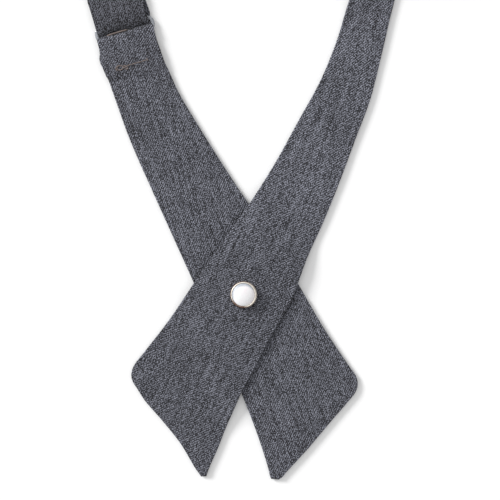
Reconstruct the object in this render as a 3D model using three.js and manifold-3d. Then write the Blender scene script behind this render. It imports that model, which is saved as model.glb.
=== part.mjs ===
// A crossover tie, lying face up: two pointed cloth straps crossed under a pearl snap, with the
// front strap going on as the neckband, round the neck and back to an adjuster on the other strap.
// Millimetres. X runs to the right as the tie is seen, Y up along it and Z out of its face.
// The origin is on the snap's axis, on the surface that the tie lies on.

import * as THREE from 'three';
import { mergeVertices } from 'three/addons/utils/BufferGeometryUtils.js';
import Module from 'manifold-3d';

const wasm = await Module();
wasm.setup();

// Driving dimensions
const CLOTH = 1.5; // a strap: two layers of twill and their stiffening, pressed
const CLEAR = 0.3; // gap between pieces that touch on the real tie
const LAYER = CLOTH + CLEAR; // from one layer's middle to the next one's
const FLOOR_LAYER = CLOTH / 2; // height of the middle of a strap that lies flat

const SNAP = {
  postRadius: 1.8,
  backRadius: 4.8,
  backThick: 0.5,
  rimRadius: 5.65,
  rimInner: 5.05,
  rimHeight: 1.7,
  rimFloor: 0.4,
  pearlRadius: 4.75,
  pearlEdge: 0.7,
  pearlRise: 1.7,
  sides: 40,
};

const WIRE = 1.5; // thickness of the clear plastic bars
const RING = { x: -50.9, y: 112.9, turn: 15.5, length: 26.6, rail: 1.2, slot: 3.9 };
const SLIDER = { start: 18.6, length: 28, rail: 1.8, bar: 2, slot: 5, bottom: 2 * LAYER };

// Plan of the front strap's two edges from the tip of its blade to where the neckband turns away
const FRONT_EDGES = [
  { lx: -18.4, ly: -77.6, rx: -16.2, ry: -77.5 },
  { lx: -19.3, ly: -76.2, rx: -15.7, ry: -75.8 },
  { lx: -20.9, ly: -74.0, rx: -14.9, ry: -73.6 },
  { lx: -27.1, ly: -63.6, rx: -11.2, ry: -65.3 },
  { lx: -34.6, ly: -53.4, rx: -8.0, ry: -57.0 },
  { lx: -41.8, ly: -45.1, rx: -4.8, ry: -49.6 },
  { lx: -45.2, ly: -39.8, rx: -2.6, ry: -44.9 },
  { lx: -47.6, ly: -36.6, rx: -1.7, ry: -43.0 },
  { lx: -48.1, ly: -33.8, rx: -0.9, ry: -41.3 },
  { lx: -46.9, ly: -30.2, rx: 0.5, ry: -38.7 },
  { lx: -42.5, ly: -24.5, rx: 3.1, ry: -34.0 },
  { lx: -32.0, ly: -10.9, rx: 11.1, ry: -18.5 },
  { lx: -20.6, ly: 6.2, rx: 20.1, ry: -2.3 },
  { lx: -8.6, ly: 23.0, rx: 26.9, ry: 16.0 },
  { lx: 3.3, ly: 40.2, rx: 33.9, ry: 31.5 },
  { lx: 13.9, ly: 57.2, rx: 41.1, ry: 49.4 },
  { lx: 23.3, ly: 74.3, rx: 47.3, ry: 66.2 },
  { lx: 32.6, ly: 91.3, rx: 53.5, ry: 82.8 },
  { lx: 39.5, ly: 108.3, rx: 58.5, ry: 102.3 },
  { lx: 43.3, ly: 120.9, rx: 61.8, ry: 116.6 },
];

// Plan of the back strap's two edges from the tip of its blade to below the ring
const BACK_EDGES = [
  { lx: 11.5, ly: -78.6, rx: 14.6, ry: -78.9 },
  { lx: 11.0, ly: -77.4, rx: 16.1, ry: -77.9 },
  { lx: 10.6, ly: -75.5, rx: 17.5, ry: -76.2 },
  { lx: 8.0, ly: -66.4, rx: 26.3, ry: -66.2 },
  { lx: 3.9, ly: -54.7, rx: 36.0, ry: -54.5 },
  { lx: 1.4, ly: -48.3, rx: 43.5, ry: -45.9 },
  { lx: 0.1, ly: -45.1, rx: 47.4, ry: -41.7 },
  { lx: -0.8, ly: -43.0, rx: 48.6, ry: -38.7 },
  { lx: -1.8, ly: -40.2, rx: 47.7, ry: -35.1 },
  { lx: -4.6, ly: -34.0, rx: 44.6, ry: -30.6 },
  { lx: -12.9, ly: -15.1, rx: 33.5, ry: -13.8 },
  { lx: -20.3, ly: 2.3, rx: 22.0, ry: 8.1 },
  { lx: -29.7, ly: 23.2, rx: 6.9, ry: 30.9 },
  { lx: -39.3, ly: 44.5, rx: -5.7, ry: 49.8 },
  { lx: -48.6, ly: 65.7, rx: -19.9, ry: 72.3 },
  { lx: -54.8, ly: 82.8, rx: -28.2, ry: 86.4 },
  { lx: -57.8, ly: 91.3, rx: -32.3, ry: 95.5 },
];

// The neckband's middle line round the neck. It turns up to stand on its outer edge, face outwards:
// tilt is 0 where it lies flat and 90 where it stands upright.
const NECK_ROUTE = [
  { x: 56.6, y: 133, tilt: 12, width: 18.7 },
  { x: 59.6, y: 148, tilt: 32, width: 19.1 },
  { x: 59.8, y: 163, tilt: 56, width: 19.6 },
  { x: 53.8, y: 178, tilt: 75, width: 20.2 },
  { x: 41, y: 191, tilt: 84, width: 20.7 },
  { x: 22, y: 199.5, tilt: 86, width: 21.1 },
  { x: 1, y: 203, tilt: 86, width: 21.5 },
  { x: -20, y: 202.5, tilt: 85, width: 21.8 },
  { x: -39.5, y: 197.5, tilt: 81, width: 22 },
  { x: -53.5, y: 189.5, tilt: 70, width: 22.2 },
  { x: -61.5, y: 179, tilt: 50, width: 22.3 },
  { x: -64.3, y: 168, tilt: 28, width: 22.3 },
  { x: -63.7, y: 158.6, tilt: 9, width: 22.3 },
];

// Plastic and cloth finishes
const CLOTH_GREY = { color: 0x5b5b63, roughness: 0.9, metalness: 0 };
const CLEAR_PLASTIC = { color: 0xc9cdd6, roughness: 0.15, metalness: 0, transparent: true, opacity: 0.6 };
const PEARL = { color: 0xf1f1f2, roughness: 0.12, metalness: 0 };
const ROSE_GOLD = { color: 0xb98468, roughness: 0.25, metalness: 1 };
const STEEL = { color: 0xa8a8aa, roughness: 0.35, metalness: 1 };

const radians = THREE.MathUtils.degToRad;
const lerp = THREE.MathUtils.lerp;
const group = new THREE.Group();

function addPiece(name, geometry, finish) {
  const piece = new THREE.Mesh(geometry, new THREE.MeshStandardMaterial(finish));
  piece.name = name;
  group.add(piece);
  return piece;
}

// A strap is lofted from stations. A station is one row of points across the cloth's middle
// surface, from its left edge to its right edge for someone who walks along the strap. The first
// and last points are the rounded edges, and the faces run between the others.
const ACROSS = 9;
const EDGE_ROUND = 0.4;

function station(left, right, lift = () => 0) {
  const width = left.distanceTo(right);
  const inset = Math.min(EDGE_ROUND / width, 0.2);
  return Array.from({ length: ACROSS }, (_, i) => {
    const face = inset + (1 - 2 * inset) * ((i - 1) / (ACROSS - 3));
    const point = new THREE.Vector3().lerpVectors(left, right, Math.min(Math.max(face, 0), 1));
    if (i === 0) point.copy(left);
    if (i === ACROSS - 1) point.copy(right);
    point.z += lift(point);
    return point;
  });
}

const AROUND = 2 * ACROSS - 2; // points round one station of the body
const FACE = ACROSS - 2; // points on each face of it

function loftCloth(stations) {
  const positions = [];
  const last = stations.length - 1;
  stations.forEach((row, i) => {
    const before = stations[Math.max(i - 1, 0)];
    const after = stations[Math.min(i + 1, last)];
    const face = [];
    const under = [];
    for (let k = 1; k <= FACE; k += 1) {
      const forwards = new THREE.Vector3().subVectors(after[k], before[k]);
      const sideways = new THREE.Vector3().subVectors(row[k + 1], row[k - 1]);
      const normal = new THREE.Vector3().crossVectors(sideways, forwards).normalize();
      face.push(row[k].clone().addScaledVector(normal, CLOTH / 2));
      under.unshift(row[k].clone().addScaledVector(normal, -CLOTH / 2));
    }
    const ring = [row[0], ...face, row[ACROSS - 1], ...under];
    ring.forEach((point) => positions.push(point.x, point.y, point.z));
  });
  const indices = [];
  for (let i = 0; i < last; i += 1) {
    for (let k = 0; k < AROUND; k += 1) {
      const a = i * AROUND + k;
      const b = i * AROUND + ((k + 1) % AROUND);
      indices.push(a, b, a + AROUND, b, b + AROUND, a + AROUND);
    }
  }
  addEndCap(indices, 0, true);
  addEndCap(indices, last * AROUND, false);
  const geometry = new THREE.BufferGeometry();
  geometry.setAttribute('position', new THREE.Float32BufferAttribute(positions, 3));
  geometry.setIndex(indices);
  return geometry;
}

// An end is closed by strips between its face row and its under row, with a point at each edge
function addEndCap(indices, start, reversed) {
  const face = (k) => start + 1 + k;
  const under = (k) => start + AROUND - 1 - k;
  const triangle = (a, b, c) => (reversed ? indices.push(a, c, b) : indices.push(a, b, c));
  triangle(start, face(0), under(0));
  for (let k = 0; k < FACE - 1; k += 1) {
    triangle(face(k), face(k + 1), under(k));
    triangle(face(k + 1), under(k + 1), under(k));
  }
  triangle(face(FACE - 1), start + ACROSS - 1, under(FACE - 1));
}

// Smooth stations between the rows of a table of edges
function edgeStations(rows, stepsPerRow, lift) {
  const curveOf = (x, y) => new THREE.CatmullRomCurve3(
    rows.map((row) => new THREE.Vector3(row[x], row[y], FLOOR_LAYER)), false, 'centripetal');
  const left = curveOf('lx', 'ly');
  const right = curveOf('rx', 'ry');
  const count = (rows.length - 1) * stepsPerRow;
  return Array.from({ length: count + 1 }, (_, i) => station(left.getPoint(i / count), right.getPoint(i / count), lift));
}

// The front strap lies over the back strap and comes down to the surface on both sides of it
const CROSSING = [
  { x: -22, y: 6.2, outX: -0.918, outY: -0.397 }, // the back strap's left edge and the way out over it
  { x: 2, y: 38, outX: 0.832, outY: 0.555 }, // its right edge
];
const SETTLE = { from: 2, to: 16 }; // distance past the edge over which the cloth comes down

function crossingLift(point) {
  const past = CROSSING.map((edge) => (point.x - edge.x) * edge.outX + (point.y - edge.y) * edge.outY);
  return LAYER * (1 - THREE.MathUtils.smoothstep(Math.max(...past), SETTLE.from, SETTLE.to));
}

// Places beside the ring: across is measured along the ring, along is measured up the strap
const ringTurn = radians(RING.turn);
const acrossAxis = new THREE.Vector3(Math.cos(ringTurn), Math.sin(ringTurn), 0);
const alongAxis = new THREE.Vector3(-Math.sin(ringTurn), Math.cos(ringTurn), 0);

function besideRing(across, along, z) {
  return new THREE.Vector3(RING.x, RING.y, z).addScaledVector(acrossAxis, across).addScaledVector(alongAxis, along);
}

function alongOf(point) {
  return (point.x - RING.x) * alongAxis.x + (point.y - RING.y) * alongAxis.y;
}

const FOLD = WIRE / 2 + CLEAR + CLOTH / 2; // radius of the cloth's middle round a bar
const BAR_Z = FLOOR_LAYER + FOLD;
const TOP_Z = BAR_Z + FOLD;
const barAlong = RING.slot / 2 + WIRE / 2; // from the ring's middle to the middle of each long bar

// Stations round a bend: angles in degrees, 0 up the strap and 90 out of the face
function bend(centreAlong, centreZ, radius, fromAngle, toAngle, steps, leftAcross, rightAcross) {
  return Array.from({ length: steps + 1 }, (_, i) => {
    const angle = radians(lerp(fromAngle, toAngle, i / steps));
    const along = centreAlong + radius * Math.cos(angle);
    const z = centreZ + radius * Math.sin(angle);
    return station(besideRing(leftAcross, along, z), besideRing(rightAcross, along, z));
  });
}

function profileStations(rows) {
  return rows.map((row) => station(besideRing(row.left, row.along, row.z), besideRing(row.right, row.along, row.z)));
}

// Front strap
const BAND = { left: -11.1, right: 11.1, underLeft: -10.7, underRight: 11.6 };

function neckStations() {
  const plan = new THREE.CatmullRomCurve3(NECK_ROUTE.map((row) => new THREE.Vector3(row.x, row.y, 0)), false, 'centripetal');
  const last = NECK_ROUTE.length - 1;
  const steps = last * 3;
  return Array.from({ length: steps + 1 }, (_, i) => {
    const place = (i / steps) * last;
    const row = Math.min(Math.floor(place), last - 1);
    const between = (name) => lerp(NECK_ROUTE[row][name], NECK_ROUTE[row + 1][name], place - row);
    const tilt = radians(between('tilt'));
    const half = between('width') / 2;
    const heading = plan.getTangent(i / steps);
    const inwards = new THREE.Vector3(-heading.y, heading.x, 0);
    const middle = plan.getPoint(i / steps);
    middle.z = half * Math.sin(tilt) + (CLOTH / 2) * Math.cos(tilt);
    const reach = new THREE.Vector3(0, 0, Math.sin(tilt)).addScaledVector(inwards, Math.cos(tilt)).multiplyScalar(half);
    return station(middle.clone().add(reach), middle.clone().sub(reach));
  });
}

// Down from the neck, through the slider, round the ring's upper bar and back to the slider.
// For someone who walks this way the band's left edge is at the right-hand end of the ring.
function adjusterStations() {
  const left = BAND.right;
  const right = BAND.left;
  const barTwo = SLIDER.start + SLIDER.bar + SLIDER.slot + SLIDER.bar / 2; // its middle bar
  const overBar = WIRE / 2 + CLOTH * 1.5 + 2 * CLEAR + 0.1;
  const reach = SLIDER.bar / 2 - WIRE / 2;
  const barZ = SLIDER.bottom + WIRE / 2;
  const under = FLOOR_LAYER + LAYER;
  const down = [
    { along: 41, z: FLOOR_LAYER, left, right },
    { along: 38, z: lerp(FLOOR_LAYER, under, 0.4), left, right },
    { along: 35, z: under - 0.1, left, right },
    { along: 32.6, z: under, left, right },
  ];
  const beforeRing = [
    { along: 20.6, z: under, left, right },
    { along: 18.6, z: under, left, right },
    { along: 15, z: 3.2, left, right },
    { along: 10, z: TOP_Z - 0.3, left, right },
    { along: 6, z: TOP_Z, left, right },
  ];
  const back = [
    { along: 7, z: FLOOR_LAYER, left: BAND.underRight, right: BAND.underLeft },
    { along: 13, z: FLOOR_LAYER, left: BAND.underRight, right: BAND.underLeft },
    { along: 19, z: FLOOR_LAYER, left: BAND.underRight, right: BAND.underLeft },
    { along: 22.5, z: FLOOR_LAYER + 0.1, left: left, right: right },
  ];
  const wrap = SLIDER.bar / 2 + CLEAR + CLOTH / 2;
  return [
    ...profileStations(down),
    ...bend(barTwo + reach, barZ, overBar, 0, 90, 6, left, right),
    ...bend(barTwo - reach, barZ, overBar, 90, 180, 6, left, right),
    ...profileStations(beforeRing),
    ...bend(barAlong, BAR_Z, FOLD, 90, 270, 10, left, right),
    ...profileStations(back),
    ...bend(barTwo, barZ, wrap, 200, -60, 14, left, right),
  ];
}

const frontStations = [
  ...edgeStations(FRONT_EDGES, 2, crossingLift),
  ...neckStations(),
  ...adjusterStations(),
];

// Back strap
const FLAP_END = -17.5; // where the folded-back end stops, measured from the ring
const backLift = (point) => LAYER * THREE.MathUtils.smoothstep(alongOf(point), FLAP_END - 4, FLAP_END);

function loopStations() {
  const layer = FLOOR_LAYER + LAYER;
  const up = [
    { along: -15.5, z: layer, left: -13.3, right: 12.5 },
    { along: -12.5, z: layer, left: -13.8, right: 12.3 },
    { along: -9.5, z: layer + 0.1, left: -13.9, right: 12.1 },
    { along: -6.5, z: lerp(layer, TOP_Z, 0.55), left: -13.1, right: 12 },
    { along: -4.2, z: TOP_Z - 0.1, left: -12.7, right: 11.9 },
  ];
  const flap = [
    { along: -5, z: FLOOR_LAYER, left: -12.3, right: 11.9 },
    { along: -9, z: FLOOR_LAYER, left: -13.8, right: 12 },
    { along: -13, z: FLOOR_LAYER, left: -13.6, right: 12 },
    { along: FLAP_END, z: FLOOR_LAYER, left: -13, right: 12 },
  ];
  return [
    ...profileStations(up),
    ...bend(-barAlong, BAR_Z, FOLD, 90, -90, 10, -11.8, 11.8),
    ...profileStations(flap),
  ];
}

const backStations = [...edgeStations(BACK_EDGES, 2, backLift), ...loopStations()];

// Both straps are pierced for the snap, and the back strap is pressed in round its back disc
function toSolid(geometry) {
  const bare = geometry.clone();
  bare.deleteAttribute('normal');
  bare.deleteAttribute('uv');
  const merged = mergeVertices(bare);
  return new wasm.Manifold(new wasm.Mesh({
    numProp: 3,
    vertProperties: new Float32Array(merged.attributes.position.array),
    triVerts: new Uint32Array(merged.index.array),
  }));
}

function toGeometry(solid) {
  const mesh = solid.getMesh();
  const geometry = new THREE.BufferGeometry();
  geometry.setAttribute('position', new THREE.BufferAttribute(new Float32Array(mesh.vertProperties), 3));
  geometry.setIndex(new THREE.BufferAttribute(new Uint32Array(mesh.triVerts), 1));
  geometry.computeVertexNormals();
  return geometry;
}

function disc(radius, bottom, top) {
  const geometry = new THREE.CylinderGeometry(radius, radius, top - bottom, SNAP.sides);
  geometry.rotateX(Math.PI / 2);
  geometry.translate(0, 0, (top + bottom) / 2);
  return geometry;
}

const postHole = disc(SNAP.postRadius + CLEAR, -1, 4 * CLOTH);
const backHollow = disc(SNAP.backRadius + CLEAR, -1, SNAP.backThick + CLEAR);
addPiece('front_strap', toGeometry(toSolid(loftCloth(frontStations)).subtract(toSolid(postHole))), CLOTH_GREY);
addPiece('back_strap', toGeometry(
  toSolid(loftCloth(backStations)).subtract(toSolid(postHole)).subtract(toSolid(backHollow))), CLOTH_GREY);

// Ring and slider: moulded frames with rounded corners and softened edges
function roundedRectangle(shape, width, height, corner) {
  const x = width / 2;
  const y = height / 2;
  shape.moveTo(-x + corner, -y);
  shape.lineTo(x - corner, -y);
  shape.absarc(x - corner, -y + corner, corner, -Math.PI / 2, 0, false);
  shape.lineTo(x, y - corner);
  shape.absarc(x - corner, y - corner, corner, 0, Math.PI / 2, false);
  shape.lineTo(-x + corner, y);
  shape.absarc(-x + corner, y - corner, corner, Math.PI / 2, Math.PI, false);
  shape.lineTo(-x, -y + corner);
  shape.absarc(-x + corner, -y + corner, corner, Math.PI, Math.PI * 1.5, false);
  return shape;
}

const SOFTEN = 0.3; // bevel of the moulded edges

function mouldedFrame(length, width, rail, slotCentres, slot, corner) {
  const outline = roundedRectangle(new THREE.Shape(), length - 2 * SOFTEN, width - 2 * SOFTEN, corner);
  slotCentres.forEach((centre) => {
    const hole = roundedRectangle(new THREE.Path(), length - 2 * rail + 2 * SOFTEN, slot + 2 * SOFTEN, 0.8);
    hole.curves.forEach((curve) => moveUp(curve, centre));
    outline.holes.push(hole);
  });
  const geometry = new THREE.ExtrudeGeometry(outline, {
    depth: WIRE - 2 * SOFTEN,
    bevelEnabled: true,
    bevelThickness: SOFTEN,
    bevelSize: SOFTEN,
    bevelSegments: 2,
    curveSegments: 5,
  });
  geometry.translate(0, 0, SOFTEN - WIRE / 2);
  return geometry;
}

function moveUp(curve, distance) {
  if (curve.isEllipseCurve) {
    curve.aY += distance;
  } else {
    curve.v1.y += distance;
    curve.v2.y += distance;
  }
}

const ringWidth = RING.slot + 2 * WIRE;
const ring = addPiece('adjuster_ring',
  mouldedFrame(RING.length, ringWidth, RING.rail, [0], RING.slot, 2), CLEAR_PLASTIC);
ring.position.copy(besideRing(0, 0, BAR_Z));
ring.rotation.z = ringTurn;

const sliderWidth = 3 * SLIDER.bar + 2 * SLIDER.slot;
const slotOffset = (SLIDER.bar + SLIDER.slot) / 2;
const slider = addPiece('band_slider',
  mouldedFrame(SLIDER.length, sliderWidth, SLIDER.rail, [-slotOffset, slotOffset], SLIDER.slot, 2), CLEAR_PLASTIC);
slider.position.copy(besideRing(0, SLIDER.start + sliderWidth / 2, SLIDER.bottom + WIRE / 2));
slider.rotation.z = ringTurn;

// Snap: turned shapes, each a profile of radius and height from the axis out and back to the axis
function turned(profile) {
  const points = profile.map(([radius, height]) => new THREE.Vector2(radius, height));
  const geometry = new THREE.LatheGeometry(points, SNAP.sides);
  geometry.rotateX(Math.PI / 2);
  return geometry;
}

const seat = 2 * LAYER + CLEAR; // underside of the rim, above both straps
const postTop = seat - CLEAR;
const rimTop = seat + SNAP.rimHeight;
const pearlBase = seat + SNAP.rimFloor + CLEAR;
const pearlEdge = pearlBase + SNAP.pearlEdge;

addPiece('snap_post', turned([
  [0, 0],
  [SNAP.backRadius, 0],
  [SNAP.backRadius, SNAP.backThick],
  [SNAP.postRadius, SNAP.backThick],
  [SNAP.postRadius, postTop],
  [0, postTop],
]), STEEL);

addPiece('snap_rim', turned([
  [0, seat],
  [SNAP.rimRadius - 0.5, seat],
  [SNAP.rimRadius, seat + 0.5],
  [SNAP.rimRadius, rimTop - 0.3],
  [SNAP.rimRadius - 0.2, rimTop],
  [SNAP.rimInner + 0.1, rimTop],
  [SNAP.rimInner, rimTop - 0.2],
  [SNAP.rimInner, seat + SNAP.rimFloor],
  [0, seat + SNAP.rimFloor],
]), ROSE_GOLD);

const DOME_STEPS = 7;
const dome = Array.from({ length: DOME_STEPS + 1 }, (_, i) => {
  const angle = (Math.PI / 2) * (i / DOME_STEPS);
  return [SNAP.pearlRadius * Math.cos(angle), pearlEdge + SNAP.pearlRise * Math.sin(angle)];
});
dome[DOME_STEPS][0] = 0;
addPiece('pearl_cap', turned([[0, pearlBase], [SNAP.pearlRadius, pearlBase], ...dome]), PEARL);

export default group;
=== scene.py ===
import math

import bpy
from mathutils import Matrix, Vector, noise


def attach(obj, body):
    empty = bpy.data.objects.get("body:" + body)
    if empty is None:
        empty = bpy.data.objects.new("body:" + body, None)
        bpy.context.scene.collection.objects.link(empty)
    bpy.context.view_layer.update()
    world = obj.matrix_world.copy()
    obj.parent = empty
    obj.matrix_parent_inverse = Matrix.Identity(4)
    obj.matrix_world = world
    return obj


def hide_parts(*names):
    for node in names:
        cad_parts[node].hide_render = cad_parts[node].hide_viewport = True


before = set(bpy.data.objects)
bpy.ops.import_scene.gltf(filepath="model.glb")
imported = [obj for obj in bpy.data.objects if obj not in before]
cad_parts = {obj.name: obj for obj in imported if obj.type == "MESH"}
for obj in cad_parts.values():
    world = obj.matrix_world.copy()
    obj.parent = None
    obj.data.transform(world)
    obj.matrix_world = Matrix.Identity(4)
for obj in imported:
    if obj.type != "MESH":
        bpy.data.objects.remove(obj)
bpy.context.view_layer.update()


# Camera
# It looks straight down on the tie from as far as a long lens needs, so that the picture's upper
# edge is towards the neckband and cuts it off above the ring.
MM = 0.001
PICTURE_WIDTH = 212.8 * MM
PICTURE_CENTRE = (2.43 * MM, 18.94 * MM)
CLOTH_FACE = 1.5 * MM

camera_data = bpy.data.cameras.new("above")
camera_data.lens = 85
camera_data.sensor_width = 36
camera = bpy.data.objects.new("above", camera_data)
bpy.context.scene.collection.objects.link(camera)
camera_height = PICTURE_WIDTH * camera_data.lens / camera_data.sensor_width
camera.location = (*PICTURE_CENTRE, camera_height + CLOTH_FACE)
bpy.context.scene.camera = camera
bpy.context.scene.view_settings.view_transform = "Standard"


# Table and light
# The tie lies on a plain white table, under one large soft lamp at the upper left and an even
# glow from the ceiling of the studio.
TABLE_REACH = 3.0
TABLE_DROP = 0.25 * MM
TABLE_WHITE = 0.9
LAMP_TOWARDS = (-0.82, 0.58)
LAMP_HEIGHT = 21
LAMP_SOFTNESS = 20
LAMP_STRENGTH = 3.8
CEILING_GLOW = 0.62
HORIZON_GLOW = 1.05


def new_material(name):
    material = bpy.data.materials.new(name)
    material.use_nodes = True
    nodes = material.node_tree.nodes
    shader = nodes["Principled BSDF"]
    return material, nodes, material.node_tree.links, shader


def add_mesh(name, points, faces, material):
    mesh = bpy.data.meshes.new(name)
    mesh.from_pydata(points, [], faces)
    mesh.materials.append(material)
    mesh.polygons.foreach_set("use_smooth", [True] * len(faces))
    mesh.update()
    piece = bpy.data.objects.new(name, mesh)
    bpy.context.scene.collection.objects.link(piece)
    return piece


def add_noise(nodes, links, place, scale, detail=2.0, roughness=0.5):
    node = nodes.new("ShaderNodeTexNoise")
    node.inputs["Scale"].default_value = scale
    node.inputs["Detail"].default_value = detail
    node.inputs["Roughness"].default_value = roughness
    links.new(place, node.inputs["Vector"])
    return node.outputs["Fac"]


def object_place(nodes):
    return nodes.new("ShaderNodeTexCoord").outputs["Object"]


def spread(nodes, links, value, low, high, to_low, to_high):
    node = nodes.new("ShaderNodeMapRange")
    node.inputs["From Min"].default_value = low
    node.inputs["From Max"].default_value = high
    node.inputs["To Min"].default_value = to_low
    node.inputs["To Max"].default_value = to_high
    links.new(value, node.inputs["Value"])
    return node.outputs["Result"]


table_finish, nodes, links, shader = new_material("white_table")
shader.inputs["Base Color"].default_value = (TABLE_WHITE, TABLE_WHITE, TABLE_WHITE, 1)
shader.inputs["Specular IOR Level"].default_value = 0.0
grain = add_noise(nodes, links, object_place(nodes), 40.0)
links.new(spread(nodes, links, grain, 0.3, 0.7, 0.85, 0.95), shader.inputs["Roughness"])
table_corners = [
    (x * TABLE_REACH, y * TABLE_REACH, -TABLE_DROP) for x, y in ((-1, -1), (1, -1), (1, 1), (-1, 1))
]
table = add_mesh("table", table_corners, [(0, 1, 2, 3)], table_finish)

lamp_data = bpy.data.lights.new("soft_lamp", "SUN")
lamp_data.energy = LAMP_STRENGTH
lamp_data.angle = math.radians(LAMP_SOFTNESS)
lamp = bpy.data.objects.new("soft_lamp", lamp_data)
bpy.context.scene.collection.objects.link(lamp)
lamp_level = math.cos(math.radians(LAMP_HEIGHT))
lamp_direction = Vector((
    LAMP_TOWARDS[0] * lamp_level,
    LAMP_TOWARDS[1] * lamp_level,
    math.sin(math.radians(LAMP_HEIGHT)),
))
lamp.rotation_euler = lamp_direction.to_track_quat("Z", "Y").to_euler()

studio = bpy.data.worlds.new("studio")
studio.use_nodes = True
bpy.context.scene.world = studio
nodes = studio.node_tree.nodes
links = studio.node_tree.links
sky_place = nodes.new("ShaderNodeTexCoord").outputs["Generated"]
sky_height = nodes.new("ShaderNodeSeparateXYZ")
links.new(sky_place, sky_height.inputs["Vector"])
glow = spread(nodes, links, sky_height.outputs["Z"], 0.0, 1.0, HORIZON_GLOW, CEILING_GLOW)
nodes["Background"].inputs["Color"].default_value = (1, 1, 1, 1)
links.new(glow, nodes["Background"].inputs["Strength"])


# Back strap
# One of the tie's two straps: a pointed strip of heather twill with a stiffening inside, turned
# in at its edges and pressed flat. It lies underneath, runs up to the ring at the upper left,
# and its end is folded back through the ring.
CLOTH = 1.5 * MM
EDGE_CLOTH = 1.25 * MM
EDGE_REACH = 7 * MM
EDGE_ROUND = 0.35 * MM
EDGE_FIRM = 0.15 * MM
NAP = 0.08 * MM
CLEAR = 0.1 * MM
LAYER = CLOTH + CLEAR
FLOOR_LAYER = CLOTH / 2
ROW_STEP = 1.0 * MM
EDGE_POINTS = 4
FACE_POINTS = 46
SECTIONS = 2 * EDGE_POINTS + FACE_POINTS
RIPPLE = 0.07 * MM
RIPPLE_SIZE = 14 * MM

# Plan of its two edges from the tip of its blade to below the ring: left x and y, right x and y
BACK_EDGES = [
    (11.5, -78.6, 14.6, -78.9),
    (11.0, -77.4, 16.1, -77.9),
    (10.6, -75.5, 17.5, -76.2),
    (7.9, -66.4, 26.6, -66.3),
    (3.8, -54.7, 36.4, -54.7),
    (1.3, -48.3, 43.8, -46.1),
    (0.1, -45.1, 47.3, -41.7),
    (-0.8, -43.0, 48.3, -38.6),
    (-1.8, -40.2, 47.7, -35.1),
    (-4.6, -34.0, 44.6, -30.6),
    (-12.9, -15.1, 33.5, -13.8),
    (-20.3, 2.3, 20.8, 8.1),
    (-29.7, 23.2, 6.9, 30.9),
    (-39.3, 44.5, -5.7, 49.8),
    (-48.6, 65.7, -19.9, 72.3),
    (-54.8, 82.8, -28.2, 86.4),
    (-57.8, 91.3, -32.3, 95.5),
]

# The ring and the places measured from it, across along its length and along up the strap
WIRE = 1.5 * MM
RING_CENTRE = (-50.9 * MM, 112.9 * MM)
RING_TURN = math.radians(15.5)
RING_SLOT = 3.9 * MM
ACROSS_AXIS = Vector((math.cos(RING_TURN), math.sin(RING_TURN), 0))
ALONG_AXIS = Vector((-math.sin(RING_TURN), math.cos(RING_TURN), 0))
RING_THICK = 0.85 * MM
END_CLOTH = 0.65 * MM
END_CLEAR = 0.06 * MM
BAR_Z = END_CLOTH + END_CLEAR + RING_THICK / 2
FOLD_RISE = RING_THICK / 2 + END_CLEAR + END_CLOTH / 2
BAR_ALONG = RING_SLOT / 2 + WIRE / 2
FLAP_END = -17.5 * MM
FLAP_LIFT = END_CLOTH + END_CLEAR
LOOP_BULGE = 0.3 * MM
UPWARDS = Vector((0, 0, 1))


def beside_ring(across, along, z):
    return Vector((*RING_CENTRE, z)) + ACROSS_AXIS * across + ALONG_AXIS * along


def along_of(point):
    return (point.xy - Vector(RING_CENTRE)).dot(ALONG_AXIS.xy)


def across_of(point):
    return (point.xy - Vector(RING_CENTRE)).dot(ACROSS_AXIS.xy)


def smoothstep(value, low, high):
    """0 at low, 1 at high and smooth between them, whichever is the greater."""
    t = min(max((value - low) / (high - low), 0), 1)
    return t * t * (3 - 2 * t)


def lerp(a, b, t):
    return a + (b - a) * t


def curve_piece(before, start, end, after, t):
    """A place between start and end on the smooth curve that also goes through their neighbours."""
    first, middle, last = (
        max((q - p).length ** 0.5, 1e-6) for p, q in ((before, start), (start, end), (end, after))
    )
    leave = (start - before) / first - (end - before) / (first + middle) + (end - start) / middle
    arrive = (end - start) / middle - (after - start) / (middle + last) + (after - end) / last
    leave = leave * middle
    arrive = arrive * middle
    return (
        start * (2 * t**3 - 3 * t**2 + 1)
        + leave * (t**3 - 2 * t**2 + t)
        + end * (3 * t**2 - 2 * t**3)
        + arrive * (t**3 - t**2)
    )


def smooth_line(points, steps):
    """Points of a smooth curve through the given ones, with a number of steps for each gap."""
    ends = [points[0] * 2 - points[1], *points, points[-1] * 2 - points[-2]]
    line = []
    for gap, count in enumerate(steps):
        for i in range(count):
            line.append(curve_piece(*ends[gap : gap + 4], i / count))
    return [*line, points[-1]]


def edge_rows(table):
    """Rows across a flat strap from a table of its edges: left point, right point, thickness."""
    left = [Vector((row[0], row[1], 0)) * MM for row in table]
    right = [Vector((row[2], row[3], 0)) * MM for row in table]
    steps = []
    for i in range(len(table) - 1):
        longest = max((left[i + 1] - left[i]).length, (right[i + 1] - right[i]).length)
        steps.append(max(3, round(longest / ROW_STEP)))
    rows = []
    for start, end in zip(smooth_line(left, steps), smooth_line(right, steps)):
        nap = (end - start).normalized() * NAP
        height = Vector((0, 0, FLOOR_LAYER))
        rows.append((start - nap + height, end + nap + height, CLOTH))
    return rows


def profile_rows(profile, steps):
    """Rows beside the ring from (along, z, left, right, thickness) in millimetres."""
    rows = []
    for i in range(len(profile) - 1):
        for step in range(steps):
            sizes = [lerp(a, b, step / steps) for a, b in zip(profile[i], profile[i + 1])]
            rows.append(profile_row(sizes))
    return [*rows, profile_row(profile[-1])]


def profile_row(sizes):
    along, z, left, right, cloth = (size * MM for size in sizes)
    return beside_ring(left, along, z), beside_ring(right, along, z), cloth


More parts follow.
